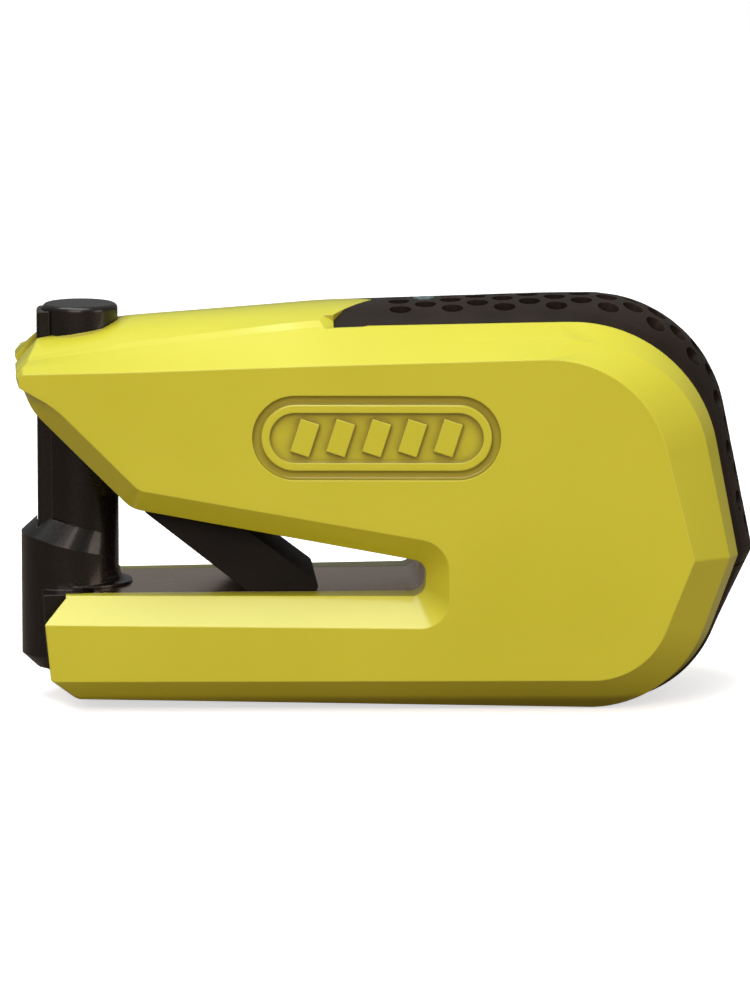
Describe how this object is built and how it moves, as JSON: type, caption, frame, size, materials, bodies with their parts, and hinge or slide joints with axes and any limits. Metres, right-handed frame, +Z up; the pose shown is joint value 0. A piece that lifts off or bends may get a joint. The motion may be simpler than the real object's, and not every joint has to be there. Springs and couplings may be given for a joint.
{
  "type": "disc brake lock",
  "caption": "Motorcycle disc brake lock with an alarm: a yellow body with a throat for the brake disc, a sliding bolt, a sensor flap and a perforated sounder cover.",
  "frame": {"origin": "on the bolt's axis at the level of the throat floor, in the plane of symmetry", "axes": "+X from the nose to the rear, +Z up along the bolt's opening travel, Y across the body"},
  "size_m": [0.1296, 0.0516, 0.0705],
  "materials": {
    "yellow_paint": "gloss acid yellow paint",
    "hard_steel": "ground hardened steel",
    "bright_steel": "ground steel",
    "lining_steel": "brushed steel with a warm grey tone",
    "black_coat": "semi gloss black coating",
    "seal_rubber": "matt",
    "spring_steel": "drawn wire",
    "gear_brass": "machined",
    "motor_can": "plated can",
    "grey_plastic": "moulded",
    "black_plastic": "fine texture",
    "magnet_nickel": "nickel plate",
    "cover_plastic": "semi gloss dark brown black",
    "cloth": "acoustic cloth",
    "battery_can": "plain sleeve",
    "siren_plastic": "moulded",
    "board_green": "solder mask",
    "lens": "tinted lens",
    "screw_steel": "zinc plated"
  },
  "bodies": {
    "housing": {"near_shell": "yellow_paint", "far_shell": "yellow_paint", "lock_block": "hard_steel", "stop_pin": "bright_steel", "throat_lining": "lining_steel", "receiver": "black_coat", "bolt_seal": "seal_rubber", "ejector_spring": "spring_steel", "gear_axle": "bright_steel", "motor": "motor_can", "mechanism_frame": "grey_plastic", "flap_pin": "bright_steel", "flap_spring": "spring_steel", "flap_housing": "black_plastic", "grille_cover": "cover_plastic", "grille_cloth": "cloth", "rear_cover": "cover_plastic", "batteries": "battery_can", "battery_holder": "grey_plastic", "battery_contacts": "spring_steel", "siren": "siren_plastic", "siren_gasket": "seal_rubber", "circuit_board": "board_green", "position_sensor": "board_green", "status_light": "lens", "bridge_plates": "bright_steel", "shell_screws": "screw_steel", "cover_screws": "screw_steel"},
    "bolt": {"bolt": "black_coat", "bolt_cap": "black_coat"},
    "flap": {"sensor_flap": "black_plastic", "flap_magnet": "magnet_nickel"},
    "latch": {"latch": "hard_steel"},
    "drive_gear": {"drive_gear": "gear_brass"},
    "motor_pinion": {"motor_pinion": "gear_brass"}
  },
  "joints": [
    {"name": "bolt_slide", "type": "slide", "parent": "housing", "child": "bolt", "axis": [0, 0, 1], "range_m": [0, 0.028]},
    {"name": "flap_hinge", "type": "hinge", "parent": "housing", "child": "flap", "pos_m": [0.0136, 0, 0.0193], "axis": [0, -1, 0], "range_deg": [0, 28]},
    {"name": "drive_gear_spin", "type": "hinge", "parent": "housing", "child": "drive_gear", "pos_m": [0.034, 0, 0.03415], "axis": [0, 1, 0], "range_deg": [0, 37.9]},
    {"name": "latch_slide", "type": "slide", "parent": "housing", "child": "latch", "axis": [-1, 0, 0], "range_m": [0, 0.003]},
    {"name": "motor_pinion_spin", "type": "hinge", "parent": "housing", "child": "motor_pinion", "pos_m": [0.0418, 0, 0.03415], "axis": [0, 1, 0], "range_deg": [-53.1, 0]}
  ],
  "couplings": [
    {"joint": "drive_gear_spin", "follows": "latch_slide", "rad_per_m": 219.78},
    {"joint": "motor_pinion_spin", "follows": "latch_slide", "rad_per_m": -307.69}
  ]
}
